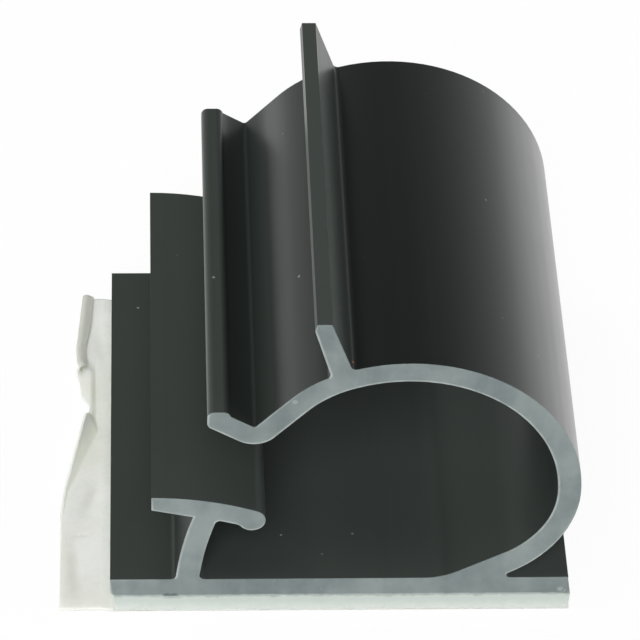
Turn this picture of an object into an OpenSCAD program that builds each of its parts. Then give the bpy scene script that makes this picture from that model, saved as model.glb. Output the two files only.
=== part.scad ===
// Self-adhesive cable clip, shown open: an extruded section on a foam pad, with its release liner.
// X runs across the base towards the strap's root, Y along the extrusion, Z up from the liner.

/* [Base] */
// Width of the base, across the clip
base_width = 25.4; // [24:0.1:32]
// Length of the clip, along the extrusion
clip_length = 25.4; // [12:0.1:60]
// Thickness of the base
base_thickness = 1.3; // [1:0.05:1.8]
// Radius of the base's two lower long edges
base_edge_radius = 0.4; // [0.1:0.05:0.6]

/* [Strap] */
// Thickness of the strap
strap_thickness = 1.27; // [1:0.01:1.5]
// How far the strap bulges past the base's right edge
strap_bulge = 0.22; // [0.05:0.01:1]
// Inside radius of the crown
crown_radius = 8.4; // [7.6:0.1:9.4]
// Height of the crown's centre above the base
crown_height = 6.6; // [6:0.1:7.4]
// Turn of the crown, from its widest point to the rib
crown_sweep = 112; // [100:1:120]
// Inside radius of the shoulder beyond the rib
shoulder_radius = 6; // [4:0.1:7]
// Turn of the shoulder
shoulder_sweep = 26; // [18:1:34]
// Straight run from the shoulder down to the hook
run_length = 2.6; // [2:0.1:3.4]

/* [Root] */
// Outside radius of the strap's lower bend
bend_outer_radius = 7.2; // [6.9:0.05:7.6]
// Inside radius of the strap's lower bend
bend_inner_radius = 5.4; // [4.8:0.05:5.8]
// Slope of the strap's inner face where it runs into the base
root_slope = 30; // [26:1:36]
// Radius that blends the inner face into the base
root_blend_radius = 3.7; // [2:0.1:5]
// Radius in the notch between the strap and the base
notch_radius = 0.2; // [0.1:0.05:0.35]

/* [Hook] */
// Inside radius of the hook's bend
hook_radius = 0.2; // [0.1:0.05:0.5]
// Turn of the hook, from the run down to the arm up
hook_sweep = 80; // [70:1:92]
// Width of the bead along the hook's lip
bead_width = 1.25; // [1:0.05:1.5]
// Height of the bead
bead_height = 1.22; // [1:0.02:1.5]
// Corner radius of the bead
bead_corner = 0.4; // [0.15:0.05:0.45]
// Length of the arm, from the hook's bend to the bead's corner
arm_length = 1.8; // [1.5:0.05:2.6]

/* [Finger rib] */
// Height of the rib's far corner above the crown's outer face
rib_height = 3.5; // [2.4:0.1:5]
// Thickness of the rib at its foot
rib_foot = 1.2; // [0.9:0.05:1.5]
// Thickness of the rib at its tip
rib_tip = 0.98; // [0.7:0.02:1.2]
// Lean of the rib away from upright
rib_lean = 18; // [8:1:26]
// Size of the bevel on the rib's tip
rib_bevel = 0.24; // [0.1:0.02:0.4]

/* [Latch post] */
// Height of the nose's centre above the base
nose_height = 4.6; // [3.8:0.05:5.2]
// Radius of the nose that the hook snaps under
nose_radius = 0.75; // [0.6:0.05:0.9]
// Radius of the cap's crowned top
cap_radius = 16; // [12:0.5:24]
// Thickness of the cap beside the leg
cap_thickness = 1.3; // [1:0.05:1.35]
// Thickness of the cap at its free edge
cap_edge = 0.95; // [0.6:0.05:1]
// Slope of the cap's top at the nose
cap_dip = 21; // [14:1:26]
// Turn of the cap, from the nose to its free edge
cap_sweep = 21; // [18:1:25]
// Distance from the nose back to the middle of the leg's foot
foot_inset = 3.5; // [3:0.1:4]
// Thickness of the leg
leg_thickness = 1.3; // [1:0.02:1.4]
// Radius that the leg bends to, on its side under the nose
leg_bend_radius = 22; // [16:1:40]
// Lean of the leg at its foot
foot_lean = 5; // [0:1:9]

/* [Corners] */
// Radius in the corners of the leg's foot
foot_fillet = 0.3; // [0.1:0.05:0.4]
// Radius in the corner between the leg and the cap
cap_fillet = 0.3; // [0.1:0.05:0.4]
// Radius that blends the cap's underside into the nose
nose_fillet = 0.6; // [0.3:0.05:0.9]
// Radius in the corners of the rib's foot
rib_fillet = 0.3; // [0.1:0.05:0.4]

/* [Adhesive pad] */
// Thickness of the foam pad
pad_thickness = 1.2; // [0.8:0.05:1.6]
// Distance of the pad's left edge in from the base's left edge
pad_inset = 0.2; // [0.05:0.05:0.6]
// How far the pad stands out past the base's right edge
pad_overhang = 0.2; // [0.05:0.05:0.6]

/* [Release liner] */
// Thickness of the liner
liner_thickness = 0.12; // [0.08:0.01:0.2]
// Width of liner that stands out past the pad, laid flat
liner_margin = 3.05; // [2.4:0.05:4]
// Length of liner that stands out past the clip's rear end
liner_tail = 0.3; // [0.1:0.05:1.5]
// Distance of the liner's front edge in from the clip's front end
liner_inset = 0.1; // [0.05:0.05:0.4]
// Slope of the front flap
front_lift = 74; // [30:1:85]
// Slope of the crease between the flap and the curl
crease_lift = 58; // [30:1:80]
// Width over which a fold rolls up
fold_width = 0.25; // [0.2:0.05:0.6]
// Width of the steep strip that the crease turns up
crease_width = 0.4; // [0.3:0.05:1.2]
// Radius of the curl along the rear of the margin
curl_radius = 0.33; // [0.3:0.01:0.5]

/* [Hidden] */

$fn = 96;

// Longest straight side of a cutting shape
far = 40;

// Overlap that makes tangent curves cross cleanly, and the turn by which such a curve runs on
seam = 0.003;
seam_turn = 6;

// Bottom faces of the stacked pieces, and the pad's two sides
pad_z = liner_thickness;
body_z = pad_z + pad_thickness;
pad_left = pad_inset - base_width / 2;
pad_right = base_width / 2 + pad_overhang;

// Centres and turning points of the strap, from its root over the crown to the hook
crown_centre = [
    base_width / 2 + strap_bulge - strap_thickness - crown_radius,
    base_thickness + crown_height
];
strap_side = crown_centre.x + crown_radius;
bend_centre = [strap_side + strap_thickness - bend_outer_radius, crown_centre.y];
hollow_centre = [strap_side - bend_inner_radius, crown_centre.y];
slope_top = hollow_centre + polar(bend_inner_radius, root_slope - 90);
slope_foot = [
    slope_top.x - (slope_top.y - base_thickness) / tan(root_slope),
    base_thickness
];
shoulder_centre = crown_centre + polar(crown_radius - shoulder_radius, crown_sweep);
run_turn = crown_sweep + shoulder_sweep;
run_start = shoulder_centre + polar(shoulder_radius, run_turn);
run_end = run_start + polar(run_length, run_turn + 90);
hook_outer_radius = hook_radius + strap_thickness;
hook_centre = run_end + polar(hook_outer_radius, run_turn);
arm_turn = run_turn + 180 - hook_sweep;
arm_start = hook_centre + polar(hook_outer_radius, arm_turn);
bead_corner_centre = arm_start
    + polar(arm_length, arm_turn - 90)
    - polar(bead_corner, arm_turn);
bead_centre = bead_corner_centre
    + [bead_width / 2 - bead_corner, bead_height / 2 - bead_corner];

// The rib stands where the crown ends
crown_outer_radius = crown_radius + strap_thickness;
rib_root = crown_centre + polar(crown_outer_radius, crown_sweep);

// The nose lies straight under the hook, and the cap and leg follow from it
nose_centre = [hook_centre.x, base_thickness + nose_height];
cap_centre = nose_centre - polar(cap_radius - nose_radius, 90 - cap_dip);
cap_inner_radius = cap_radius - cap_thickness;
cap_end = 90 - cap_dip + cap_sweep;
leg_outer_radius = leg_bend_radius + leg_thickness;
foot_turn = 180 - foot_lean;
leg_centre = [nose_centre.x - foot_inset, base_thickness]
    - polar(leg_bend_radius + leg_thickness / 2, foot_turn);
leg_top = crossing(
    leg_centre, leg_bend_radius + leg_thickness / 2,
    cap_centre, cap_radius - cap_thickness / 2, -1
);
leg_top_turn = bearing(leg_centre, leg_top);
leg_back = crossing(leg_centre, leg_outer_radius, cap_centre, cap_inner_radius, -1);
cap_edge_foot = cap_centre + polar(cap_radius - cap_edge, cap_end);

// Every rounded inner corner of the section
fillets = [
    root_corner(),
    hook_corner(),
    foot_corner(bend_centre, bend_outer_radius, notch_radius, 1, 1),
    foot_corner(leg_centre, leg_outer_radius, foot_fillet, 1, -1),
    foot_corner(leg_centre, leg_bend_radius, foot_fillet, -1, -1),
    cap_corner(leg_centre, leg_bend_radius, cap_fillet, -1),
    cap_corner(nose_centre, nose_radius, nose_fillet, 1),
    rib_corner(crown_centre, crown_outer_radius, 1),
    rib_corner(shoulder_centre, shoulder_radius + strap_thickness, -1)
];

// Turns past a joint that bury a wall's end in its neighbour
leg_bury = asin(base_thickness / 2 / leg_bend_radius);
rib_bury = strap_thickness / 2;

// The liner's grid: rows along the clip, and steps across its free margin
liner_front = -clip_length / 2 + liner_inset;
liner_back = clip_length / 2 + liner_tail;
liner_rows = 52;
margin_steps = 20;

// Stretches of the liner's edge, as shares of its length from front to back
front_flap = [0.22, 0.26, 0.57, 0.61];
crease_span = [0.54, 0.60, 0.72, 0.80];
rear_curl = [0.70, 0.76, 1.2, 1.3];

// Places along that length with shares of the margin: where each fold starts, and the free edge
front_fold = [[0.24, 1], [0.36, 0.84], [0.55, 0.3], [0.61, 0.34]];
crease_fold = [[0.55, 0.33], [0.8, 0.35]];
curl_fold = [[0.74, 0.66], [1, 0.55]];
free_edge = [[0, 1], [0.54, 1], [0.575, 0.66], [0.74, 0.68], [0.8, 0.92], [1, 1]];

// Vector of a length at an angle
function polar(length, angle) = length * [cos(angle), sin(angle)];

// Vector of length one along another
function unit(v) = v / norm(v);

// Angle at which one point is seen from another, from 0 to 360
function bearing(from, to) = (atan2(to.y - from.y, to.x - from.x) + 360) % 360;

// Point of a circle nearest to another point
function touch(centre, radius, point) = centre + radius * unit(point - centre);

// Point at a height and a distance from a centre, to its right (side 1) or left (side -1)
function level(centre, distance, height, side) =
    [centre.x + side * sqrt(distance ^ 2 - (height - centre.y) ^ 2), height];

// Crossing of two circles, to the left (side 1) or right (side -1) of the line between their centres
function crossing(c1, r1, c2, r2, side) =
    let (
        gap = norm(c2 - c1),
        along = (r1 ^ 2 - r2 ^ 2 + gap ^ 2) / (2 * gap),
        aside = sqrt(r1 ^ 2 - along ^ 2),
        dir = unit(c2 - c1)
    ) c1 + along * dir + side * aside * [-dir.y, dir.x];

// Point where a line that starts inside a circle leaves it
function leaving(start, dir, centre, radius) =
    let (nearest = start + ((centre - start) * dir) * dir)
    nearest + sqrt(radius ^ 2 - norm(nearest - centre) ^ 2) * dir;

// A fillet: its sharp corner, its centre, its radius and the two points where it meets the faces
function fillet(corner, centre, radius, ends) = [corner, centre, radius, ends];
function fillet_centre(f) = f[1];
function fillet_radius(f) = f[2];

// Three points that fill a fillet's corner, anticlockwise: one inside the plastic and one on each face
function fillet_fill(f) =
    let (
        inside = f[0] + min(f[2], base_thickness / 3) * unit(f[0] - f[1]),
        a = f[3][0],
        b = f[3][1]
    ) cross(a - inside, b - inside) > 0 ? [inside, a, b] : [inside, b, a];

// Fillet between the base's top face and a circle, outside it (way 1) or inside it (way -1)
function foot_corner(centre, radius, size, way, side) =
    let (middle = level(centre, radius + way * size, base_thickness + size, side))
    fillet(
        level(centre, radius, base_thickness, side), middle, size,
        [[middle.x, base_thickness], touch(centre, radius, middle)]
    );

// Fillet between the cap's underside and a circle, outside it (way 1) or inside it (way -1)
function cap_corner(centre, radius, size, way) =
    let (middle = crossing(centre, radius + way * size, cap_centre, cap_inner_radius - size, -1))
    fillet(
        crossing(centre, radius, cap_centre, cap_inner_radius, -1), middle, size,
        [touch(centre, radius, middle), touch(cap_centre, cap_inner_radius, middle)]
    );

// Fillet between one tapered face of the rib and the strap's outer face beside it
function rib_corner(centre, radius, side) =
    let (
        taper = atan((rib_foot - rib_tip) / 2 / rib_height),
        dir = polar(1, 90 + rib_lean + side * taper),
        across = side * polar(1, rib_lean + side * taper),
        foot = rib_root + side * polar(rib_foot / 2, rib_lean),
        middle = leaving(foot + across * rib_fillet, dir, centre, radius + rib_fillet)
    )
    fillet(
        leaving(foot, dir, centre, radius), middle, rib_fillet,
        [middle - across * rib_fillet, touch(centre, radius, middle)]
    );

// Fillet between the base's top face and the slope of the strap's root
function root_corner() =
    let (run = root_blend_radius * tan(root_slope / 2))
    fillet(
        slope_foot, slope_foot + [-run, root_blend_radius], root_blend_radius,
        [slope_foot - [run, 0], slope_foot + polar(run, root_slope)]
    );

// Fillet on the inner side of the hook's bend
function hook_corner() =
    let (
        turns = [arm_turn, run_turn + 180],
        reach = hook_radius / cos(hook_sweep / 2)
    )
    fillet(
        hook_centre + polar(reach, (turns[0] + turns[1]) / 2), hook_centre, hook_radius,
        [for (turn = turns) hook_centre + polar(hook_radius, turn)]
    );

// Rise from 0 to 1 with soft ends
function smooth(t) = let (c = min(max(t, 0), 1)) c * c * (3 - 2 * c);

// Share of full strength at a place along a stretch that fades in and out
function fade(t, stretch) =
    smooth((t - stretch[0]) / (stretch[1] - stretch[0]))
    * (1 - smooth((t - stretch[2]) / (stretch[3] - stretch[2])));

// Turn, from 0 to 1, at a distance from the pad past the start of a fold
function turned(s, start, width) = smooth((s - liner_margin * start) / width);

// Slope of the liner's margin at a distance from the pad and a share of its length
function margin_slope(s, t) =
    let (
        crease = lookup(t, crease_fold),
        curled = max(s - liner_margin * lookup(t, curl_fold), 0)
    )
    max(
        front_lift * fade(t, front_flap) * turned(s, lookup(t, front_fold), fold_width),
        crease_lift * fade(t, crease_span) * turned(s, crease, fold_width)
            * (1 - turned(s - crease_width, crease, fold_width)),
        fade(t, rear_curl) * curled / curl_radius * 180 / PI
    );

// Middle of the margin's thickness, stepped outwards from the pad, each with its slope
function margin_path(t) =
    let (step = liner_margin * lookup(t, free_edge) / margin_steps)
    [
        for (
            k = 0, p = [pad_left, liner_thickness / 2];
            k <= margin_steps;
            k = k + 1,
            p = p + polar(step, 180 - margin_slope((k - 0.5) * step, t))
        ) [p.x, p.y, margin_slope(k * step, t)]
    ];

// One row of the liner's upper (side 1) or lower (side -1) face
function liner_row(t, side) =
    let (
        y = liner_front + t * (liner_back - liner_front),
        half = side * liner_thickness / 2
    )
    concat(
        [[pad_right, y, liner_thickness / 2 + half]],
        [
            for (p = margin_path(t))
                [p.x + half * sin(p[2]), y, p.y + half * cos(p[2])]
        ]
    );

// Slice of a disc between two angles
module slice(centre, radius, from, to) {
    translate(centre)
        intersection() {
            circle(radius);
            polygon([
                [0, 0],
                polar(far, from),
                polar(far, (2 * from + to) / 3),
                polar(far, (from + 2 * to) / 3),
                polar(far, to)
            ]);
        }
}

// Part of a ring between two angles
module arc_wall(centre, inner, thickness, from, to) {
    difference() {
        slice(centre, inner + thickness, from, to);
        translate(centre)
            circle(inner);
    }
}

// Straight wall that starts at a point of its inner face and runs off at an angle
module straight_wall(start, angle, length, thickness) {
    translate(start)
        rotate(angle)
            translate([0, -thickness])
                square([length, thickness]);
}

module base_section() {
    flat = base_width - 2 * base_edge_radius;
    translate([-base_width / 2, base_edge_radius])
        square([base_width, base_thickness - base_edge_radius]);
    translate([-flat / 2, 0])
        square([flat, 2 * base_edge_radius]);
    for (side = [-1, 1])
        translate([side * flat / 2, base_edge_radius])
            circle(base_edge_radius);
}

// Outline of the crown, shoulder and run, a distance outside the cable space
module strap_outline(grow, past) {
    slice(crown_centre, crown_radius + grow, 0, crown_sweep);
    slice(
        shoulder_centre, shoulder_radius + grow + seam,
        crown_sweep - seam_turn, run_turn + seam_turn
    );
    translate(run_start)
        rotate(run_turn + 90)
            translate([0, -grow])
                square([run_length + past, shoulder_radius]);
}

// The strap, with a lower bend thicker than the rest, because its two faces turn about different centres
module strap_section() {
    difference() {
        union() {
            strap_outline(strap_thickness, 0);
            intersection() {
                translate(bend_centre)
                    circle(bend_outer_radius + seam);
                translate([slope_foot.x, base_thickness / 2])
                    square([
                        far,
                        crown_height + base_thickness / 2 + bend_outer_radius * sin(seam_turn)
                    ]);
            }
        }
        strap_outline(0, strap_thickness);
        translate(hollow_centre)
            circle(bend_inner_radius + seam);
        translate(slope_top)
            rotate(root_slope)
                translate([-far, 0])
                    square([far, bend_outer_radius]);
    }
}

// The lip at the strap's free end: a tight bend, a short arm and a bead along its edge
module hook_section() {
    slice(
        hook_centre, hook_outer_radius + seam,
        arm_turn - seam_turn, run_turn + 180 + seam_turn
    );
    straight_wall(arm_start, arm_turn - 90, arm_length, strap_thickness);
    translate(bead_centre) {
        square([bead_width, bead_height - 2 * bead_corner], center = true);
        square([bead_width - 2 * bead_corner, bead_height], center = true);
        for (x = [-1, 1], y = [-1, 1])
            translate([
                x * (bead_width / 2 - bead_corner),
                y * (bead_height / 2 - bead_corner)
            ])
                circle(bead_corner + seam);
    }
}

// The rib that a finger pushes: a tapered blade whose tip is cut level
module rib_section() {
    level_rise = rib_tip * tan(rib_lean);
    translate(rib_root)
        rotate(rib_lean)
            polygon([
                [-rib_foot / 2, 0],
                [-rib_foot / 2, -rib_bury],
                [rib_foot / 2, -rib_bury],
                [rib_foot / 2, 0],
                [rib_tip / 2, rib_height],
                [-rib_tip / 2 + rib_bevel, rib_height + level_rise * (1 - rib_bevel / rib_tip)],
                [-rib_tip / 2, rib_height + level_rise - 2 * rib_bevel]
            ]);
}

// The leaning leg and its cap: a free edge on one side and the nose on the other
module post_section() {
    arc_wall(leg_centre, leg_bend_radius, leg_thickness, leg_top_turn, foot_turn + leg_bury);
    difference() {
        arc_wall(cap_centre, cap_inner_radius, cap_thickness, 90 - cap_dip, cap_end);
        translate(leg_back + [0, seam])
            rotate(bearing(cap_edge_foot, leg_back))
                translate([-cap_radius, -cap_thickness])
                    square([cap_radius + leg_thickness / 2, cap_thickness]);
    }
    translate(nose_centre)
        circle(nose_radius + seam);
}

// The whole section, its inner corners filled and then rounded out
module clip_section() {
    difference() {
        union() {
            base_section();
            strap_section();
            hook_section();
            rib_section();
            post_section();
            for (f = fillets)
                polygon(fillet_fill(f));
        }
        for (f = fillets)
            translate(fillet_centre(f))
                circle(fillet_radius(f) + seam);
    }
}

// One extrusion: base, strap, hook, finger rib and latch post
module clip_body() {
    color("#3a403e")
        translate([0, 0, body_z])
            rotate([90, 0, 0])
                linear_extrude(height = clip_length, center = true)
                    clip_section();
}

// Double-sided foam pad stuck under the base
module foam_pad() {
    color("#ccd4d0")
        translate([pad_left, -clip_length / 2, pad_z])
            cube([pad_right - pad_left, clip_length, pad_thickness]);
}

// Release liner under the pad: flat beneath it, with a crumpled free margin to the left
module release_liner() {
    width = margin_steps + 2;
    top = [for (r = [0 : liner_rows]) each liner_row(r / liner_rows, 1)];
    bottom = [for (r = [0 : liner_rows]) each liner_row(r / liner_rows, -1)];
    under = len(top);
    rim = concat(
        [for (c = [0 : width - 1]) c],
        [for (r = [1 : liner_rows]) r * width + width - 1],
        [for (c = [width - 2 : -1 : 0]) liner_rows * width + c],
        [for (r = [liner_rows - 1 : -1 : 1]) r * width]
    );
    squares = [
        for (r = [0 : liner_rows - 1], c = [0 : width - 2])
            let (a = r * width + c) [a, a + 1, a + width + 1, a + width]
    ];
    color("#dfe1d8")
        polyhedron(
            points = concat(top, bottom),
            faces = concat(
                [for (q = squares) each [[q[0], q[1], q[2]], [q[0], q[2], q[3]]]],
                [
                    for (q = squares)
                        each [[under + q[0], under + q[2], under + q[1]],
                              [under + q[0], under + q[3], under + q[2]]]
                ],
                [
                    for (i = [0 : len(rim) - 1])
                        let (a = rim[i], b = rim[(i + 1) % len(rim)])
                        each [[a, under + b, b], [a, under + a, under + b]]
                ]
            )
        );
}

clip_body();
foam_pad();
release_liner();
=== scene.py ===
"""Looks of an open adhesive cable clip: a dark extrusion on a foam pad with its curled liner."""

import logging
import math
import random
from collections.abc import Mapping
from dataclasses import dataclass
from enum import Enum

import bmesh
import bpy
from mathutils import Matrix, Vector, noise


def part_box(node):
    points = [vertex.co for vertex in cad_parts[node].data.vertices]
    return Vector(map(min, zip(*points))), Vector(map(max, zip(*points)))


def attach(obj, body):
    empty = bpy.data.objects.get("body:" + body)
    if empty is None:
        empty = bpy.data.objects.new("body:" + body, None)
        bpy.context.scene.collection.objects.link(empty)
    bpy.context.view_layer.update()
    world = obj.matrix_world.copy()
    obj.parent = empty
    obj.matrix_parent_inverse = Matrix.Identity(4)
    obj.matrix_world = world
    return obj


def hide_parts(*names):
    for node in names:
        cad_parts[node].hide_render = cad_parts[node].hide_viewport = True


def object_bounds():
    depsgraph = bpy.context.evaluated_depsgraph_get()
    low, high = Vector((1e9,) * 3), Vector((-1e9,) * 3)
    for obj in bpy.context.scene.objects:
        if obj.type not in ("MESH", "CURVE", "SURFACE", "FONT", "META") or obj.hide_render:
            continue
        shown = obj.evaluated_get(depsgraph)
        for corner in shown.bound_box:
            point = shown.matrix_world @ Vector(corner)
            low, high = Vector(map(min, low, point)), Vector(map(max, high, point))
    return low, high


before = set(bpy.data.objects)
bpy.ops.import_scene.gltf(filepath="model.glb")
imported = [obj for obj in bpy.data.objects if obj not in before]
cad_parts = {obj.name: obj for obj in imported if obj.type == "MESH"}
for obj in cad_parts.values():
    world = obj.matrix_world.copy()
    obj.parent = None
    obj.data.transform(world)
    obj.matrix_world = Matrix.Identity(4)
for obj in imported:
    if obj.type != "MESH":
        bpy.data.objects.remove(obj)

CAD_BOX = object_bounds()
MM = 0.001
WELD = 0.5e-6

logging.basicConfig(level=logging.INFO, format="%(message)s")
log = logging.getLogger("cable_clip")

Colour = tuple[float, float, float]
Input = object
WHITE: Colour = (1.0, 1.0, 1.0)


class Slot(Enum):
    """The record's material slots."""

    PLASTIC = "clip_plastic"
    FOAM = "pad_foam"
    PAPER = "liner_paper"


class Face(Enum):
    """Material indices on the clip's body."""

    SKIN = 0
    CUT = 1


# Shader expressions


class Signal:
    """A socket of a shader graph that adds Math nodes when it is used in an expression."""

    def __init__(self, graph: "Graph", socket: bpy.types.NodeSocket) -> None:
        """Keeps the graph and the socket.

        Args:
            graph: The graph that the socket belongs to.
            socket: An output socket.
        """
        self.graph = graph
        self.socket = socket

    def _math(self, operation: str, first: Input, second: Input = 0.0) -> "Signal":
        """Adds one Math node.

        Args:
            operation: The node's operation.
            first: Its first value or link.
            second: Its second value or link.

        Returns:
            The node's result.
        """
        return self.graph.add(
            "ShaderNodeMath", {"operation": operation}, {0: first, 1: second}
        )

    def __add__(self, other: Input) -> "Signal":
        """Sum."""
        return self._math("ADD", self, other)

    def __radd__(self, other: Input) -> "Signal":
        """Sum with a number on the left."""
        return self._math("ADD", other, self)

    def __sub__(self, other: Input) -> "Signal":
        """Difference."""
        return self._math("SUBTRACT", self, other)

    def __rsub__(self, other: Input) -> "Signal":
        """Difference from a number on the left."""
        return self._math("SUBTRACT", other, self)

    def __mul__(self, other: Input) -> "Signal":
        """Product."""
        return self._math("MULTIPLY", self, other)

    def __rmul__(self, other: Input) -> "Signal":
        """Product with a number on the left."""
        return self._math("MULTIPLY", other, self)

    def __truediv__(self, other: Input) -> "Signal":
        """Quotient."""
        return self._math("DIVIDE", self, other)

    def __pow__(self, other: Input) -> "Signal":
        """Power."""
        return self._math("POWER", self, other)

    def clamped(self) -> "Signal":
        """The value held between 0 and 1."""
        return self._math("MINIMUM", self._math("MAXIMUM", self, 0.0), 1.0)

    def rise(self, low: float, high: float) -> "Signal":
        """Soft step.

        Args:
            low: Value at which the step starts.
            high: Value at which it ends; below low for a falling step.

        Returns:
            0 before low and 1 past high, with a smooth change between.
        """
        return self.graph.add(
            "ShaderNodeMapRange",
            {"interpolation_type": "SMOOTHSTEP"},
            {"Value": self, "From Min": low, "From Max": high},
        )


class Graph:
    """The node graph of one material or of the world."""

    def __init__(self, tree: bpy.types.NodeTree) -> None:
        """Empties the graph.

        Args:
            tree: The tree to fill.
        """
        self.tree = tree
        self.tree.nodes.clear()

    def add(
        self,
        kind: str,
        settings: Mapping[str, object] | None = None,
        inputs: Mapping[str | int, Input] | None = None,
        output: str | int = 0,
    ) -> Signal:
        """Adds a node.

        Args:
            kind: The node's type.
            settings: Its properties, set first.
            inputs: Values or signals for its sockets, by name or index.
            output: The socket to return.

        Returns:
            The wanted output.
        """
        node = self.tree.nodes.new(kind)
        for name, value in (settings or {}).items():
            setattr(node, name, value)
        for name, value in (inputs or {}).items():
            socket = node.inputs[name]
            if isinstance(value, Signal):
                self.tree.links.new(value.socket, socket)
            elif isinstance(value, tuple) and len(value) == 3 and socket.type == "RGBA":
                socket.default_value = (*value, 1.0)
            else:
                socket.default_value = value
        if not node.outputs:
            return Signal(self, node.inputs[0])
        return Signal(self, node.outputs[output])

    def place(self, scale: Colour = (1.0, 1.0, 1.0)) -> Signal:
        """Object coordinates, scaled.

        Args:
            scale: Factors along X, Y and Z.

        Returns:
            The scaled coordinates.
        """
        spot = self.add("ShaderNodeTexCoord", output="Object")
        return self.add("ShaderNodeMapping", inputs={"Vector": spot, "Scale": scale})

    def axis(self, name: str) -> Signal:
        """One object coordinate, in metres."""
        spot = self.add("ShaderNodeTexCoord", output="Object")
        return self.add("ShaderNodeSeparateXYZ", inputs={"Vector": spot}, output=name)

    def grain(
        self, spot: Signal, scale: float, detail: float = 3.0, rough: float = 0.55
    ) -> Signal:
        """Noise.

        Args:
            spot: Where it is read.
            scale: Waves per metre of the coordinates.
            detail: Octaves.
            rough: How strong the fine octaves are.

        Returns:
            Values around 0.5.
        """
        return self.add(
            "ShaderNodeTexNoise",
            {"noise_dimensions": "3D"},
            {"Vector": spot, "Scale": scale, "Detail": detail, "Roughness": rough},
        )

    def cells(self, spot: Signal, scale: float) -> Signal:
        """Distance to the nearest of scattered points."""
        return self.add(
            "ShaderNodeTexVoronoi",
            {"feature": "F1"},
            {"Vector": spot, "Scale": scale},
            "Distance",
        )

    def blend(self, share: Input, low: Input, high: Input) -> Signal:
        """Mixes two colours.

        Args:
            share: 0 for low and 1 for high.
            low: A colour.
            high: A colour.

        Returns:
            The mixed colour.
        """
        return self.add(
            "ShaderNodeMix",
            {"data_type": "RGBA"},
            {
                0: share,
                6: (*low, 1.0) if isinstance(low, tuple) else low,
                7: (*high, 1.0) if isinstance(high, tuple) else high,
            },
            2,
        )

    def bump(self, height: Signal, depth: float) -> Signal:
        """Bends normals by a height.

        Args:
            height: The height's shape, about 0 to 1.
            depth: Its size in metres.

        Returns:
            The new normals.
        """
        return self.add(
            "ShaderNodeBump",
            {},
            {"Height": height, "Distance": depth, "Strength": 1.0},
        )

    def surface(self, inputs: Mapping[str | int, Input]) -> None:
        """Ends the graph in a Principled shader with the given inputs."""
        shader = self.add("ShaderNodeBsdfPrincipled", {}, inputs)
        self.add("ShaderNodeOutputMaterial", {}, {"Surface": shader})


def new_material(name: str) -> tuple[bpy.types.Material, Graph]:
    """Makes an empty node material.

    Args:
        name: The material's name.

    Returns:
        The material and its graph.
    """
    material = bpy.data.materials.new(name)
    material.use_nodes = True
    return material, Graph(material.node_tree)


# Finishes


@dataclass(frozen=True)
class Mark:
    """A speck, scuff or spot of painted shade at a place on a face."""

    place: tuple[float, float, float]
    reach: float
    colour: Colour

    def over(self, g: Graph, base: Signal) -> Signal:
        """Paints the mark over a colour."""
        away = g.add(
            "ShaderNodeVectorMath",
            {"operation": "DISTANCE"},
            {0: g.place(), 1: self.place},
            "Value",
        )
        return g.blend(away.rise(self.reach, 0.4 * self.reach), base, self.colour)


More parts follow.
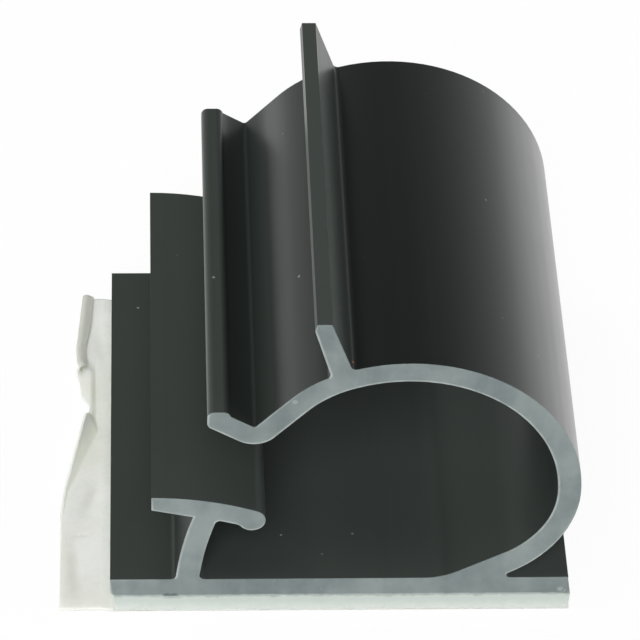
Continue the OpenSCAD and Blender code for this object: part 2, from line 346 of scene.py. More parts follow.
@dataclass(frozen=True)
class ExtrudedSkin:
    """Satin skin drawn along Y, glossy outside and chalkier inside the strap and down low; its
    colour there and on the rib, hook and bead is painted lighter as painted light, with a painted
    highlight on the rib's upper part.
    """

    gloss_colour: Colour = (0.0075, 0.0095, 0.0085)
    # Painted light: paler colour painted inside the strap, low down, on the rib, hook and bead.
    painted_light_colour: Colour = (0.038, 0.045, 0.041)
    # Painted light: paler still on the sheltered base top and under the nose.
    floor_colour: Colour = (0.050, 0.059, 0.055)
    streak_colour: Colour = (0.030, 0.034, 0.032)
    dust_colour: Colour = (0.30, 0.32, 0.31)
    crown_centre: tuple[float, float] = (3.253 * MM, 9.19 * MM)
    crown_radius: float = 8.4 * MM
    strap_middle: float = 0.5 * MM
    base_top: float = 2.59 * MM
    post_foot: float = -8.9 * MM
    strap: float = 1.35 * MM
    rib_side: float = -3.2 * MM
    rib_top: float = 21.6 * MM
    post_top: float = 9.2 * MM
    post_side: float = -4.0 * MM
    # Rib's share of the chalky finish and of its painted light.
    rib_chalk_and_light: float = 0.5
    # Strength of the rib's painted highlight on its sides and on its top face.
    rib_highlight_share: float = 0.7
    rib_top_highlight_share: float = 0.45
    rib_fade: tuple[float, float] = (19.0 * MM, 21.2 * MM)
    hook_side: float = -4.0 * MM
    # Hook's share of the chalky finish and of its painted light.
    hook_chalk_and_light: float = 0.42
    valley: tuple[float, float] = (-4.94 * MM, 14.5 * MM)
    valley_reach: float = 2.0 * MM
    bead_side: float = -6.6 * MM
    # Painted highlight on the rib's upper part.
    rib_highlight_colour: Colour = (0.088, 0.098, 0.092)
    marks: tuple[Mark, ...] = (
        Mark((0.21 * MM, -12.12 * MM, 18.51 * MM), 0.09 * MM, (0.30, 0.09, 0.03)),
        Mark((5.53 * MM, -8.29 * MM, 2.62 * MM), 0.11 * MM, (0.26, 0.28, 0.27)),
        Mark((8.25 * MM, 2.11 * MM, 17.49 * MM), 0.09 * MM, (0.18, 0.19, 0.18)),
        Mark((-11.13 * MM, 9.59 * MM, 2.61 * MM), 0.10 * MM, (0.24, 0.26, 0.25)),
        Mark((-3.16 * MM, -9.30 * MM, 2.61 * MM), 0.09 * MM, (0.28, 0.30, 0.29)),
        Mark((-0.92 * MM, -10.79 * MM, 2.61 * MM), 0.08 * MM, (0.24, 0.26, 0.25)),
    )
    nose_side: float = -4.78 * MM
    nose_low: float = 5.6 * MM
    blur: float = 0.3 * MM
    edge: float = 0.1 * MM
    roughness: float = 0.34
    chalk_roughness: float = 0.48
    coat: float = 0.8
    coat_roughness: float = 0.32
    sheen_tint: Colour = (0.90, 1.0, 0.93)
    streak_across: float = 3400.0
    streak_along: float = 30.0
    streak_depth: float = 0.5e-6
    streak_share: float = 0.2
    cloud_scale: float = 260.0
    dust_scale: float = 800.0
    dust_patches: float = 420.0
    dust_share: float = 0.7

    def painted_fill_area(self, g: Graph) -> Signal:
        """Where extra painted light goes: the base's top between the post and the strap, and the
        nose: 1, elsewhere 0.
        """
        x, z = g.axis("X"), g.axis("Z")
        low = z.rise(self.base_top + self.blur, self.base_top + self.edge)
        right = x.rise(self.post_foot - self.blur, self.post_foot + self.blur)
        nose = x.rise(self.nose_side, self.nose_side + self.edge)
        high = z.rise(self.nose_low, self.nose_low + self.blur)
        under = z.rise(self.post_top, self.post_top - self.blur)
        flank = x.rise(self.hook_side + self.blur, self.hook_side)
        return (low * right + nose * high * under * flank).clamped()

    def chalk_and_painted_light(self, g: Graph) -> Signal:
        """Where the skin is chalky and its colour is painted lighter as painted light: inside the
        strap, low down, on the rib, on the hook and on the bead.
        """
        x, z = g.axis("X"), g.axis("Z")
        dx, dz = x - self.crown_centre[0], z - self.crown_centre[1]
        reach = (dx * dx + dz * dz) ** 0.5
        limit = self.crown_radius + self.strap_middle
        inside = reach.rise(limit + self.blur, limit - self.blur)
        low = z.rise(self.post_top + self.blur, self.post_top - self.blur)
        left = x.rise(self.post_side + self.blur, self.post_side - self.blur)
        proud = self.crown_radius + self.strap
        rib = reach.rise(proud, proud + self.blur) * x.rise(
            self.rib_side - self.blur, self.rib_side + self.blur
        )
        flank = z.rise(self.rib_top, self.rib_top - self.edge)
        blade = rib * (self.rib_chalk_and_light + (1.0 - self.rib_chalk_and_light) * flank)
        hook = self.hook_chalk_and_light * x.rise(self.hook_side + self.blur, self.hook_side)
        bead = x.rise(self.bead_side + self.blur, self.bead_side - self.blur)
        return (inside + low * left + self.painted_fill_area(g) + blade + hook + bead).clamped()

    def blade(self, g: Graph) -> Signal:
        """The rib's upper part, where a painted highlight goes: 1 on its sides, less on its top
        face and 0 elsewhere.
        """
        z = g.axis("Z")
        side = z.rise(self.rib_top, self.rib_top - self.edge)
        tone = self.rib_top_highlight_share + (1.0 - self.rib_top_highlight_share) * side
        right = g.axis("X").rise(self.rib_side - self.blur, self.rib_side)
        return z.rise(*self.rib_fade) * tone * right

    def valley_dull(self, g: Graph) -> Signal:
        """Duller skin around the hook's inner corner: 1 there and 0 elsewhere."""
        dx, dz = g.axis("X") - self.valley[0], g.axis("Z") - self.valley[1]
        reach = (dx * dx + dz * dz) ** 0.5
        return reach.rise(self.valley_reach, 0.3 * self.valley_reach)

    def make(self) -> bpy.types.Material:
        """Builds the material."""
        material, g = new_material("extruded_skin")
        drawn = g.place((self.streak_across, self.streak_along, self.streak_across))
        fine = g.grain(drawn, 1.0, 4.0, 0.6)
        broad = g.grain(drawn, 0.3, 3.0, 0.5)
        cloud = g.grain(g.place(), self.cloud_scale, 3.0)
        streaks = (0.5 * fine + 0.5 * broad).rise(0.52, 0.76)
        speck = g.cells(g.place(), self.dust_scale).rise(0.09, 0.04)
        chance = g.grain(g.place(), self.dust_patches, 1.0).rise(0.58, 0.64)
        dust = (speck * chance * self.dust_share).clamped()
        chalk_and_painted_light = self.chalk_and_painted_light(g)
        dull = self.valley_dull(g)
        # Painted light: inner and low surfaces, the rib, hook and bead are painted paler, and the
        # sheltered floor and nose paler still.
        painted_light_tone = g.blend(self.painted_fill_area(g), self.painted_light_colour, self.floor_colour)
        skin = g.blend(chalk_and_painted_light * (0.86 + 0.28 * cloud), self.gloss_colour, painted_light_tone)
        # Painted highlight: the rib's upper part is painted lighter, less on its top face.
        rib_highlighted = g.blend(self.blade(g) * self.rib_highlight_share, skin, self.rib_highlight_colour)
        drawn_skin = g.blend(streaks * self.streak_share, rib_highlighted, self.streak_colour)
        dusty = g.blend(dust, drawn_skin, self.dust_colour)
        for mark in self.marks:
            dusty = mark.over(g, dusty)
        g.surface(
            {
                "Base Color": dusty,
                "Roughness": self.roughness
                + (self.chalk_roughness - self.roughness) * chalk_and_painted_light
                + 0.16 * (broad - 0.5)
                + 0.08 * (cloud - 0.5)
                + 0.2 * dull
                + 0.3 * dust,
                "IOR": 1.5,
                "Coat Weight": self.coat * (1.0 - 0.6 * chalk_and_painted_light) * (1.0 - 0.8 * dull),
                "Coat Roughness": self.coat_roughness,
                "Specular Tint": self.sheen_tint,
                "Normal": g.bump(fine * 0.6 + broad * 0.4, self.streak_depth),
            }
        )
        return material


@dataclass(frozen=True)
class SawnEnd:
    """Milky sawn face of the extrusion, with a painted highlight along its rim, painted shade
    where it meets the foam, saw marks and smears.
    """

    colour: Colour = (0.235, 0.275, 0.272)
    deep_colour: Colour = (0.125, 0.158, 0.160)
    # Painted highlight on the rim.
    rim_highlight_colour: Colour = (0.42, 0.46, 0.45)
    scuff_colour: Colour = (0.38, 0.42, 0.41)
    roughness: float = 0.52
    cloud_scale: float = 420.0
    broad_scale: float = 130.0
    rim_scale: float = 1400.0
    smear_stretch: Colour = (900.0, 900.0, 220.0)
    saw_stretch: Colour = (300.0, 300.0, 9000.0)
    scuff_stretch: Colour = (1500.0, 1500.0, 700.0)
    scuff_share: float = 0.45
    mark_depth: float = 3.0e-6
    scuffs_and_painted_shade: tuple[Mark, ...] = (
        Mark((-2.81 * MM, -12.70 * MM, 16.16 * MM), 0.22 * MM, (0.27, 0.31, 0.30)),
        # Painted shade: these two dark marks darken the gap over the foam's notch.
        Mark((-9.55 * MM, -12.70 * MM, 1.30 * MM), 0.34 * MM, (0.10, 0.13, 0.13)),
        Mark((-9.15 * MM, -12.70 * MM, 1.30 * MM), 0.34 * MM, (0.10, 0.13, 0.13)),
        Mark((12.30 * MM, -12.70 * MM, 1.70 * MM), 0.24 * MM, (0.28, 0.32, 0.31)),
    )

    def make(self) -> bpy.types.Material:
        """Builds the material."""
        material, g = new_material("sawn_end")
        rim = g.add(
            "ShaderNodeAttribute", {"attribute_name": "rim"}, {}, "Fac"
        ).rise(0.0, 0.8)
        cloud = g.grain(g.place(), self.cloud_scale, 4.0, 0.6)
        smear = g.grain(g.place(self.smear_stretch), 1.0, 4.0, 0.65)
        marks = g.grain(g.place(self.saw_stretch), 1.0, 3.0, 0.6)
        scuff = g.grain(g.place(self.scuff_stretch), 1.0, 3.0).rise(0.68, 0.76)
        broken = g.grain(g.place(), self.rim_scale, 3.0).rise(0.30, 0.62)
        broad = g.grain(g.place(), self.broad_scale, 2.0, 0.5)
        body = g.blend(
            (0.4 * cloud + 0.2 * smear + 0.4 * broad).rise(0.34, 0.66),
            self.deep_colour,
            self.colour,
        )
        worn = g.blend(scuff * self.scuff_share, body, self.scuff_colour)
        # Painted highlight along the rim, broken up by noise.
        highlighted = g.blend(rim * (0.35 + 0.5 * broken), worn, self.rim_highlight_colour)
        # Scuffs, and painted shade over the foam's notch.
        for marked_spot in self.scuffs_and_painted_shade:
            highlighted = marked_spot.over(g, highlighted)
        g.surface(
            {
                "Base Color": highlighted,
                "Roughness": self.roughness + 0.2 * (marks - 0.5),
                "IOR": 1.5,
                "Normal": g.bump(marks * 0.7 + smear * 0.3, self.mark_depth),
            }
        )
        return material


@dataclass(frozen=True)
class FoamSkin:
    """Cut foam with open cells that have painted shade in their pits, darker along its top and
    paler towards the bottom.
    """

    colour: Colour = (0.55, 0.60, 0.565)
    # Darker colour along the top, also used as painted shade in the cell pits.
    dark_colour: Colour = (0.38, 0.44, 0.41)
    pale_colour: Colour = (0.68, 0.72, 0.68)
    top: float = 1.32 * MM
    bottom: float = 0.12 * MM
    ragged_scale: float = 1500.0
    cell_scale: float = 6500.0
    cell_share: float = 0.25
    cell_depth: float = 22.0e-6

    def make(self) -> bpy.types.Material:
        """Builds the material."""
        material, g = new_material("foam_skin")
        height = g.axis("Z")
        ragged = g.grain(g.place(), self.ragged_scale, 4.0, 0.6)
        cells = g.cells(g.place(), self.cell_scale)
        level = (height - self.bottom) / (self.top - self.bottom) + 0.5 * (ragged - 0.5)
        body = g.blend(level.rise(0.0, 0.75), self.pale_colour, self.colour)
        # Darker along the top and paler towards the bottom.
        darker_top = g.blend(level.rise(0.84, 1.02), body, self.dark_colour)
        # Painted shade in the open cells' pits.
        painted_pit_shade = cells.rise(0.25, 0.02) * self.cell_share
        g.surface(
            {
                "Base Color": g.blend(painted_pit_shade, darker_top, self.dark_colour),
                "Roughness": 0.86 + 0.1 * (ragged - 0.5),
                "IOR": 1.45,
                "Normal": g.bump(cells * 0.6 + ragged * 0.8, self.cell_depth),
            }
        )
        return material


@dataclass(frozen=True)
class CoatedPaper:
    """Release paper: off-white, finely fibrous, with a faint sheen, and painted shade where it
    curls over and in its dents.
    """

    colour: Colour = (0.93, 0.94, 0.86)
    shade_colour: Colour = (0.85, 0.86, 0.77)
    # Painted shade on the rear curl and in the dents.
    painted_shade_colour: Colour = (0.62, 0.625, 0.57)
    roughness: float = 0.46
    glow: float = 0.7
    glow_radius: Colour = (1.0, 1.0, 0.9)
    glow_depth: float = 0.30 * MM
    fibre_stretch: Colour = (5200.0, 3800.0, 5200.0)
    cloud_scale: float = 300.0
    fibre_depth: float = 2.5e-6

    def make(self) -> bpy.types.Material:
        """Builds the material."""
        material, g = new_material("coated_paper")
        fibre = g.grain(g.place(self.fibre_stretch), 1.0, 3.0, 0.6)
        cloud = g.grain(g.place(), self.cloud_scale, 3.0, 0.55)
        turned = g.add("ShaderNodeAttribute", {"attribute_name": "turned"}, {}, "Fac")
        sheet = g.blend(
            (0.75 * cloud + 0.25 * fibre).rise(0.36, 0.62), self.shade_colour, self.colour
        )
        g.surface(
            {
                # Painted shade: darker where the rear curl turns over and in the dents.
                "Base Color": g.blend(turned.clamped(), sheet, self.painted_shade_colour),
                "Roughness": self.roughness + 0.16 * (cloud - 0.5),
                "Subsurface Weight": self.glow,
                "Subsurface Radius": self.glow_radius,
                "Subsurface Scale": self.glow_depth,
                "IOR": 1.45,
                "Normal": g.bump(fibre * 0.5 + cloud * 0.5, self.fibre_depth),
            }
        )
        return material


# Mesh helpers


def finish_piece(
    name: str, mesh_data: bmesh.types.BMesh, node: str
) -> bpy.types.Object:
    """Turns a bmesh into a piece that stands for a CAD node.

    Args:
        name: The piece's name.
        mesh_data: Its mesh, freed here.
        node: The CAD node that it replaces.

    Returns:
        The piece, riding on the root body.
    """
    mesh = bpy.data.meshes.new(name)
    mesh_data.to_mesh(mesh)
    mesh_data.free()
    piece = bpy.data.objects.new(name, mesh)
    bpy.context.scene.collection.objects.link(piece)
    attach(piece, "root")
    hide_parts(node)
    return piece


def smooth_by_angle(piece: bpy.types.Object, limit: float) -> None:
    """Shades a piece smooth, with edges sharper than the limit in degrees kept hard."""
    for polygon in piece.data.polygons:
        polygon.use_smooth = True
    piece.data.set_sharp_from_angle(angle=math.radians(limit))


def smooth_step(value: float) -> float:
    """Rise from 0 to 1 with soft ends."""
    held = min(max(value, 0.0), 1.0)
    return held * held * (3.0 - 2.0 * held)


# Pieces


@dataclass
class ClipBody:
    """The extrusion, drawn out again from the CAD section with broken sawn edges."""

    node: str = "clip_body"
    edge_break: float = 0.035 * MM
    rim_width: float = 0.11 * MM
    # Least strength of the rim's painted highlight.
    glint_least: float = 0.12
    hard_angle: float = 20.0

    def section(self) -> bmesh.types.BMesh:
        """Takes the CAD solid's front end as one flat face.

        Returns:
            A bmesh with that face alone.
        """
        shape = bmesh.new()
        shape.from_mesh(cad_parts[self.node].data)
        bmesh.ops.remove_doubles(shape, verts=shape.verts, dist=WELD)
        front = min(v.co.y for v in shape.verts)
        rest = [
            f for f in shape.faces if any(abs(v.co.y - front) > WELD for v in f.verts)
        ]
        bmesh.ops.delete(shape, geom=rest, context="FACES")
        bmesh.ops.dissolve_faces(shape, faces=shape.faces, use_verts=False)
        return shape

    def glint(self, vert: bmesh.types.BMVert) -> float:
        """Brightness of the rim's painted highlight at a point: full where its edge looks down or
        left.
        """
        side = sum((f.normal for f in vert.link_faces), Vector())
        side.y = 0.0
        side.normalize()
        facing = max(-side.z, -0.8 * side.x - 0.5 * max(side.z, 0.0))
        return self.glint_least + (1.0 - self.glint_least) * smooth_step(facing / 0.7)

    def build(self) -> bpy.types.Object:
        """Extrudes the section, breaks its sawn edges and marks their rims for a painted
        highlight.

        Returns:
            The finished piece.
        """
        low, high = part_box(self.node)
        shape = self.section()
        drawn = bmesh.ops.extrude_face_region(shape, geom=list(shape.faces))
        moved = [v for v in drawn["geom"] if isinstance(v, bmesh.types.BMVert)]
        bmesh.ops.translate(
            shape, verts=moved, vec=Vector((0.0, high.y - low.y, 0.0))
        )
        bmesh.ops.recalc_face_normals(shape, faces=shape.faces)
        ends = [f for f in shape.faces if len(f.verts) > 4]
        rims = list({e for f in ends for e in f.edges})
        bmesh.ops.bevel(
            shape,
            geom=rims,
            offset=self.edge_break,
            offset_type="OFFSET",
            segments=2,
            profile=0.5,
            affect="EDGES",
            material=-1,
            clamp_overlap=True,
        )
        ends = [f for f in shape.faces if len(f.verts) > 4]
        bmesh.ops.inset_region(
            shape, faces=ends, thickness=self.rim_width, use_even_offset=True
        )
        cores = [f for f in shape.faces if len(f.verts) > 4]
        inner = {v for f in cores for v in f.verts}
        rim = shape.verts.layers.float.new("rim")
        for vert in shape.verts:
            # Painted highlight: the sawn rims are painted lighter, most where their edge looks
            # down or left.
            vert[rim] = 0.0 if vert in inner else self.glint(vert)
        for face in shape.faces:
            sawn = abs(face.normal.y) > 0.3
            face.material_index = (Face.CUT if sawn else Face.SKIN).value
        piece = finish_piece("clip_extrusion", shape, self.node)
        piece.data.materials.append(ExtrudedSkin().make())
        piece.data.materials.append(SawnEnd().make())
        smooth_by_angle(piece, self.hard_angle)
        return piece


@dataclass
class FoamPad:
    """Foam tape: a block with cut sides, a notch, and a ragged lower edge with crumbs."""

    node: str = "foam_pad"
    along_steps: int = 190
    height_steps: int = 9
    side_wobble: float = 0.05 * MM
    tear_depth: float = 0.16 * MM
    notch_middle: float = -9.25 * MM
    notch_reach: float = 0.75 * MM
    notch_depth: float = 0.35 * MM
    notch_steepness: float = 1.6
    notch_share: float = 0.22
    notch_fade: float = 0.2
    crumb_size: float = 0.09 * MM
    crumb_count: int = 26
    crumb_inset: float = 0.3 * MM
    hard_angle: float = 50.0
    seed: int = 7

    def ragged(self, spot: Vector, inward: Vector, share: float) -> Vector:
        """Moves a point of a side inwards.

        Args:
            spot: The point, in metres.
            inward: Direction into the pad.
            share: 0 at the top of the side and 1 at its lower edge.

        Returns:
            The move.
        """
        coarse = 0.5 + 0.5 * noise.noise(spot * 900.0)
        fine = 0.5 + 0.5 * noise.noise(spot * 3600.0 + Vector((5.0, 2.0, 9.0)))
        tear = share**3 * self.tear_depth * (0.35 * coarse + 0.65 * fine * fine)
        notch = 0.0
        if inward.y > 0.0:
            away = abs(spot.x - self.notch_middle) / self.notch_reach
            along = smooth_step(self.notch_steepness * (1.0 - away))
            up = smooth_step((self.notch_share - share) / self.notch_fade)
            notch = self.notch_depth * along * up
        return inward * (self.side_wobble * (0.6 * coarse + 0.4 * fine) + tear + notch)

    def build(self) -> bpy.types.Object:
        """Makes the block, roughens its sides and sheds crumbs at its front edge.

        Returns:
            The finished piece.
        """
        low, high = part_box(self.node)
        middle, size = (low + high) / 2, high - low
        shape = bmesh.new()
        bmesh.ops.create_cube(shape, size=1.0)
        bmesh.ops.scale(shape, vec=size, verts=shape.verts)
        bmesh.ops.translate(shape, vec=middle, verts=shape.verts)
        caps = [f for f in shape.faces if abs(f.normal.z) > 0.5]
        bmesh.ops.delete(shape, geom=caps, context="FACES_ONLY")
        level = [e for e in shape.edges if abs(e.verts[0].co.z - e.verts[1].co.z) < WELD]
        bmesh.ops.subdivide_edges(
            shape, edges=level, cuts=self.along_steps, use_grid_fill=True
        )
        upright = [
            e for e in shape.edges if abs(e.verts[0].co.z - e.verts[1].co.z) > WELD
        ]
        bmesh.ops.subdivide_edges(
            shape, edges=upright, cuts=self.height_steps, use_grid_fill=True
        )
        for vert in shape.verts:
            inward = Vector((0.0, 0.0, 0.0))
            for k in (0, 1):
                if abs(vert.co[k] - low[k]) < WELD:
                    inward[k] = 1.0
                elif abs(vert.co[k] - high[k]) < WELD:
                    inward[k] = -1.0
            share = (high.z - vert.co.z) / size.z
            vert.co += self.ragged(vert.co, inward, share)
        open_edges = [e for e in shape.edges if e.is_boundary]
        bmesh.ops.holes_fill(shape, edges=open_edges, sides=0)
        draw = random.Random(self.seed)
        for _ in range(self.crumb_count):
            place = Vector(
                (
                    draw.uniform(low.x + self.crumb_inset, high.x - self.crumb_inset),
                    low.y + 0.5 * self.crumb_size * draw.uniform(0.9, 1.3),
                    low.z + self.crumb_size * draw.uniform(0.45, 1.6),
                )
            )
            turn = Matrix.Rotation(draw.uniform(0.0, math.tau), 4, "Y")
            stretch = Matrix.Diagonal(
                (draw.uniform(0.7, 1.5), 0.7, draw.uniform(0.5, 1.0), 1.0)
            )
            bmesh.ops.create_icosphere(
                shape,
                subdivisions=2,
                radius=0.5 * self.crumb_size * draw.uniform(0.6, 1.2),
                matrix=Matrix.Translation(place) @ turn @ stretch,
            )
        bmesh.ops.recalc_face_normals(shape, faces=shape.faces)
        piece = finish_piece("foam_tape", shape, self.node)
        piece.data.materials.append(FoamSkin().make())
        smooth_by_angle(piece, self.hard_angle)
        return piece


Table = tuple[tuple[float, float], ...]
Span = tuple[float, float, float, float]


def look_up(place: float, table: Table) -> float:
    """Value at a place, on straight lines between a table's rows.

    Args:
        place: Where it is wanted.
        table: Places in rising order, each with its value.

    Returns:
        The value; before the first row and past the last it stays the same.
    """
    if place <= table[0][0]:
        return table[0][1]
    for (a, low), (b, high) in zip(table, table[1:], strict=False):
        if place <= b:
            return low + (high - low) * (place - a) / (b - a)
    return table[-1][1]


def fade(place: float, span: Span) -> float:
    """Share of full strength at a place along a span that fades in and out."""
    a, b, c, d = span
    return smooth_step((place - a) / (b - a)) * (1.0 - smooth_step((place - c) / (d - c)))


@dataclass(frozen=True)
class Dent:
    """A soft hollow or swelling in the liner, an ellipse seen from above."""

    centre: tuple[float, float]
    reach: tuple[float, float]
    turn: float
    height: float

    def lift(self, place: Vector) -> float:
        """Height that it adds at a place, in metres."""
        away = place.xy - Vector(self.centre)
        away.rotate(Matrix.Rotation(-math.radians(self.turn), 2))
        far = (away.x / self.reach[0]) ** 2 + (away.y / self.reach[1]) ** 2
        return self.height * math.exp(-far)


@dataclass
class ReleaseLiner:
    """Release paper under the pad, with a free margin that is folded, creased and curled."""

    node: str = "release_liner"
    thickness: float = 0.12 * MM
    margin: float = 3.05 * MM
    front_lift: float = 74.0
    crease_lift: float = 64.0
    crease_width: float = 0.48 * MM
    fold_width: float = 0.25 * MM
    curl_radius: float = 0.18 * MM
    front_flap: Span = (0.22, 0.26, 0.57, 0.61)
    crease_span: Span = (0.54, 0.60, 0.72, 0.80)
    rear_curl: Span = (0.70, 0.76, 1.20, 1.30)
    front_fold: Table = ((0.24, 1.0), (0.36, 0.84), (0.55, 0.30), (0.61, 0.34))
    crease_fold: Table = ((0.55, 0.33), (0.80, 0.35))
    curl_fold: Table = ((0.70, 0.64), (0.82, 0.68), (1.0, 0.57))
    curl_end: float = 207.0
    free_edge: Table = (
        (0.0, 1.0),
        (0.54, 1.0),
        (0.575, 0.60),
        (0.62, 0.56),
        (0.65, 0.72),
        (0.70, 0.76),
        (0.76, 0.96),
        (0.90, 0.98),
        (1.0, 0.90),
    )
    rows: int = 220
    steps: int = 56
    swell: float = 0.11 * MM
    wave: float = 0.06 * MM
    wave_scale: float = 380.0
    # Strength of the painted shade in the dents.
    dent_shade: float = 0.4
    curl_shade: float = 80.0
    rise_share: float = 0.25
    hard_angle: float = 40.0
    dents: tuple[Dent, ...] = (
        Dent((-13.9 * MM, -3.9 * MM), (0.36 * MM, 1.15 * MM), -14.0, -0.12 * MM),
        Dent((-14.45 * MM, -6.9 * MM), (0.34 * MM, 0.09 * MM), 8.0, -0.09 * MM),
        Dent((-14.7 * MM, -9.6 * MM), (0.34 * MM, 1.9 * MM), 4.0, -0.09 * MM),
        Dent((-13.6 * MM, -8.4 * MM), (0.42 * MM, 1.5 * MM), -6.0, 0.06 * MM),
        Dent((-13.3 * MM, 8.3 * MM), (0.36 * MM, 1.6 * MM), 10.0, -0.09 * MM),
    )

    def turned(self, s: float, start: float) -> float:
        """Turn, from 0 to 1, at a distance from the pad past the start of a fold."""
        return smooth_step((s - self.margin * start) / self.fold_width)

    def slope(self, s: float, t: float) -> float:
        """Slope in degrees.

        Args:
            s: Distance from the pad along the paper, in metres.
            t: Share of the liner's length, from its front edge.

        Returns:
            How steeply the paper rises there, past 90 where it has turned over.
        """
        crease = look_up(t, self.crease_fold)
        curled = max(s - self.margin * look_up(t, self.curl_fold), 0.0)
        return max(
            self.front_lift
            * fade(t, self.front_flap)
            * self.turned(s, look_up(t, self.front_fold)),
            self.crease_lift
            * fade(t, self.crease_span)
            * self.turned(s, crease)
            * (1.0 - self.turned(s - self.crease_width, crease)),
            fade(t, self.rear_curl)
            * min(math.degrees(curled / self.curl_radius), self.curl_end),
        )

    def curl(self, s: float, t: float) -> float:
        """How far the rear curl has turned over at a place, from 0 to 1, which sets its painted
        shade.
        """
        start = self.margin * look_up(t, self.curl_fold)
        turn = (s - start) / self.curl_radius / math.radians(self.curl_shade)
        return fade(t, self.rear_curl) * smooth_step(turn)

    def hollow(self, place: Vector) -> float:
        """How deep in a dent a place is, from 0 to 1, which sets its painted shade."""
        depth = -sum(min(dent.lift(place), 0.0) for dent in self.dents)
        return min(depth / self.swell, 1.0)

    def relief(self, place: Vector, s: float) -> float:
        """Height of waves and dents at a place on the margin, in metres."""
        waves = self.wave * noise.noise(place * self.wave_scale)
        share = smooth_step(s / (self.rise_share * self.margin))
        dents = sum(dent.lift(place) for dent in self.dents)
        return share * max(self.swell + waves + dents, 0.0)

    def build(self) -> bpy.types.Object:
        """Bends a flat grid along its folds and gives it the paper's thickness.

        Returns:
            The finished piece.
        """
        low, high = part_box(self.node)
        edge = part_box("foam_pad")[0].x
        length = high.y - low.y
        shape = bmesh.new()
        bmesh.ops.create_grid(
            shape, x_segments=self.steps + 1, y_segments=self.rows, size=0.5
        )
        turned = shape.verts.layers.float.new("turned")
        paths: dict[int, list[Vector]] = {}
        for vert in shape.verts:
            row = round((vert.co.y + 0.5) * self.rows)
            if row not in paths:
                paths[row] = self.path(row / self.rows, edge, low.y, length)
            column = round((0.5 - vert.co.x) * (self.steps + 1))
            if column == 0:
                vert.co = Vector((high.x, paths[row][0].y, self.thickness / 2))
            else:
                vert.co = paths[row][column - 1]
                s = (column - 1) / self.steps * self.margin
                s *= look_up(row / self.rows, self.free_edge)
                curl = self.curl(s, row / self.rows)
                # Painted shade: store how far the curl has turned and how deep the dents are.
                vert[turned] = max(curl, self.dent_shade * self.hollow(vert.co))
        bmesh.ops.recalc_face_normals(shape, faces=shape.faces)
        if sum(f.normal.z for f in shape.faces) < 0:
            bmesh.ops.reverse_faces(shape, faces=shape.faces)
        piece = finish_piece("liner_paper", shape, self.node)
        body = piece.modifiers.new("thickness", "SOLIDIFY")
        body.thickness = self.thickness
        body.offset = 0.0
        body.use_even_offset = True
        piece.data.materials.append(CoatedPaper().make())
        smooth_by_angle(piece, self.hard_angle)
        return piece

    def path(self, t: float, edge: float, front: float, length: float) -> list[Vector]:
        """Points across the margin at a share of the liner's length.

        Args:
            t: The share, from the front edge.
            edge: Where the margin leaves the pad, along X.
            front: Where the liner starts, along Y.
            length: The liner's length.

        Returns:
            The middle of the paper's thickness, from the pad outwards.
        """
        step = self.margin * look_up(t, self.free_edge) / self.steps
        flat = Vector((edge, front + t * length, self.thickness / 2))
        points = []
        for k in range(self.steps + 1):
            if k:
                turn = math.radians(self.slope((k - 0.5) * step, t))
                flat += step * Vector((-math.cos(turn), 0.0, math.sin(turn)))
            points.append(flat + Vector((0.0, 0.0, self.relief(flat, k * step))))
        return points


# Stage


@dataclass(frozen=True)
class Lamp:
    """A round soft light that is aimed at the clip."""

    name: str
    place: tuple[float, float, float]
    size: float
    power: float
    aim: tuple[float, float, float] = (0.0, 0.0, 8.0 * MM)

    def build(self) -> None:
        """Adds the lamp, which doesn't show in reflections."""
        data = bpy.data.lights.new(self.name, "AREA")
        data.shape = "DISK"
        data.size = self.size
        data.energy = self.power
        lamp = bpy.data.objects.new(self.name, data)
        lamp.location = self.place
        way = Vector(self.aim) - lamp.location
        lamp.rotation_euler = way.to_track_quat("-Z", "Y").to_euler()
        lamp.visible_glossy = False
        bpy.context.scene.collection.objects.link(lamp)


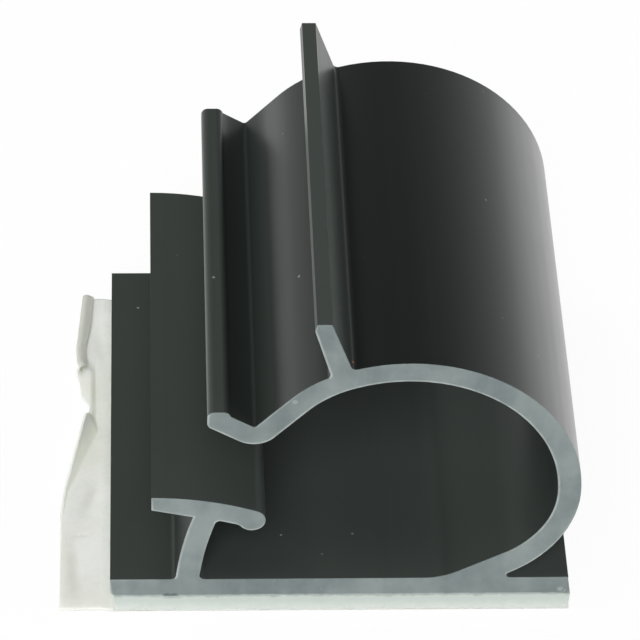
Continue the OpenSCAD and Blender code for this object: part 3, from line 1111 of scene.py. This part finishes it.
@dataclass
class Studio:
    """White floor just under the liner, darkening surroundings and plain soft lamps."""

    floor_size: float = 6.0
    floor_drop: float = 0.02 * MM
    floor_colour: Colour = (0.97, 0.97, 0.97)
    floor_white: float = 0.86
    camera_white: float = 0.93
    sky_tint: Colour = (0.955, 1.0, 0.97)
    right_level: float = 0.62
    right_fall: float = 0.85
    left_dim: float = 0.03
    left_gain: float = 0.42
    left_heights: tuple[float, float] = (0.66, 0.34)
    left_side: tuple[float, float] = (0.12, 0.5)
    lamps: tuple[Lamp, ...] = (
        Lamp("camera_side", (-0.05, -0.43, 0.40), 0.3, 2.1),
        Lamp("top", (-0.15, 0.05, 0.58), 0.5, 1.4),
        Lamp("left", (-0.50, 0.05, 0.22), 0.3, 0.5),
        Lamp("right", (0.50, -0.10, 0.26), 0.3, 0.7),
    )

    def floor(self) -> None:
        """Makes the floor, which stays white to the camera and keeps a faint shadow."""
        shape = bmesh.new()
        bmesh.ops.create_grid(
            shape, x_segments=1, y_segments=1, size=self.floor_size / 2
        )
        low, _ = CAD_BOX
        level = Vector((0.0, 0.0, low.z - self.floor_drop))
        bmesh.ops.translate(shape, verts=shape.verts, vec=level)
        mesh = bpy.data.meshes.new("floor")
        shape.to_mesh(mesh)
        shape.free()
        floor = bpy.data.objects.new("floor", mesh)
        bpy.context.scene.collection.objects.link(floor)
        material, g = new_material("floor_white")
        seen = g.add("ShaderNodeLightPath", output="Is Camera Ray")
        gloss = g.add("ShaderNodeLightPath", output="Is Glossy Ray")
        share = seen * self.camera_white + gloss * self.floor_white
        matt = g.add("ShaderNodeBsdfDiffuse", {}, {"Color": self.floor_colour})
        glow = g.add("ShaderNodeEmission", {}, {"Color": WHITE, "Strength": 1.0})
        mixed = g.add("ShaderNodeMixShader", {}, {0: share, 1: matt, 2: glow})
        g.add("ShaderNodeOutputMaterial", {}, {"Surface": mixed})
        mesh.materials.append(material)

    def surroundings(self) -> None:
        """Makes the world: white to the camera, and for light dim overhead, bright at the left."""
        world = bpy.data.worlds.new("studio")
        world.use_nodes = True
        bpy.context.scene.world = world
        g = Graph(world.node_tree)
        way = g.add("ShaderNodeTexCoord", output="Generated")
        x = g.add("ShaderNodeSeparateXYZ", {}, {"Vector": way}, "X")
        z = g.add("ShaderNodeSeparateXYZ", {}, {"Vector": way}, "Z")
        right = (self.right_level - self.right_fall * z).clamped()
        left = self.left_dim + self.left_gain * z.rise(*self.left_heights)
        sky = right + (left - right) * (0.0 - x).rise(*self.left_side)
        seen = g.add("ShaderNodeLightPath", output="Is Camera Ray")
        cover = g.add(
            "ShaderNodeBackground",
            {},
            {
                "Color": g.blend(seen, self.sky_tint, WHITE),
                "Strength": sky + (1.0 - sky) * seen,
            },
        )
        g.add("ShaderNodeOutputWorld", {}, {"Surface": cover})

    def build(self) -> None:
        """Sets the whole stage."""
        self.floor()
        self.surroundings()
        for lamp in self.lamps:
            lamp.build()
        bpy.context.scene.view_settings.view_transform = "Standard"


@dataclass
class PhotoCamera:
    """A long lens that looks down on the front end, a little from the left."""

    place: tuple[float, float, float] = (-10.798 * MM, -161.578 * MM, 158.733 * MM)
    elevation: float = 42.5
    yaw: float = 3.517
    roll: float = 2.199
    lens: float = 219.09
    sensor: float = 36.0

    def build(self) -> bpy.types.Object:
        """Makes the camera.

        Returns:
            The scene's camera.
        """
        yaw, tilt = math.radians(self.yaw), math.radians(self.elevation)
        forward = Vector(
            (
                math.sin(yaw) * math.cos(tilt),
                math.cos(yaw) * math.cos(tilt),
                -math.sin(tilt),
            )
        )
        level = Vector((math.cos(yaw), -math.sin(yaw), 0.0))
        upright = level.cross(forward)
        turn = math.radians(self.roll)
        right = math.cos(turn) * level + math.sin(turn) * upright
        up = math.cos(turn) * upright - math.sin(turn) * level
        data = bpy.data.cameras.new("photo_camera")
        data.lens = self.lens
        data.sensor_width = self.sensor
        data.clip_start, data.clip_end = 0.01, 10.0
        camera = bpy.data.objects.new("photo_camera", data)
        pose = Matrix((right, up, -forward)).transposed().to_4x4()
        pose.translation = Vector(self.place)
        camera.matrix_world = pose
        bpy.context.scene.collection.objects.link(camera)
        bpy.context.scene.camera = camera
        return camera


# Scene


def main() -> None:
    """Builds every piece in order and reports it."""
    PhotoCamera().build()
    for maker in (ReleaseLiner(), FoamPad(), ClipBody()):
        piece = maker.build()
        log.info("built %s: %d faces", piece.name, len(piece.data.polygons))
    Studio().build()


if __name__ == "__main__":
    main()
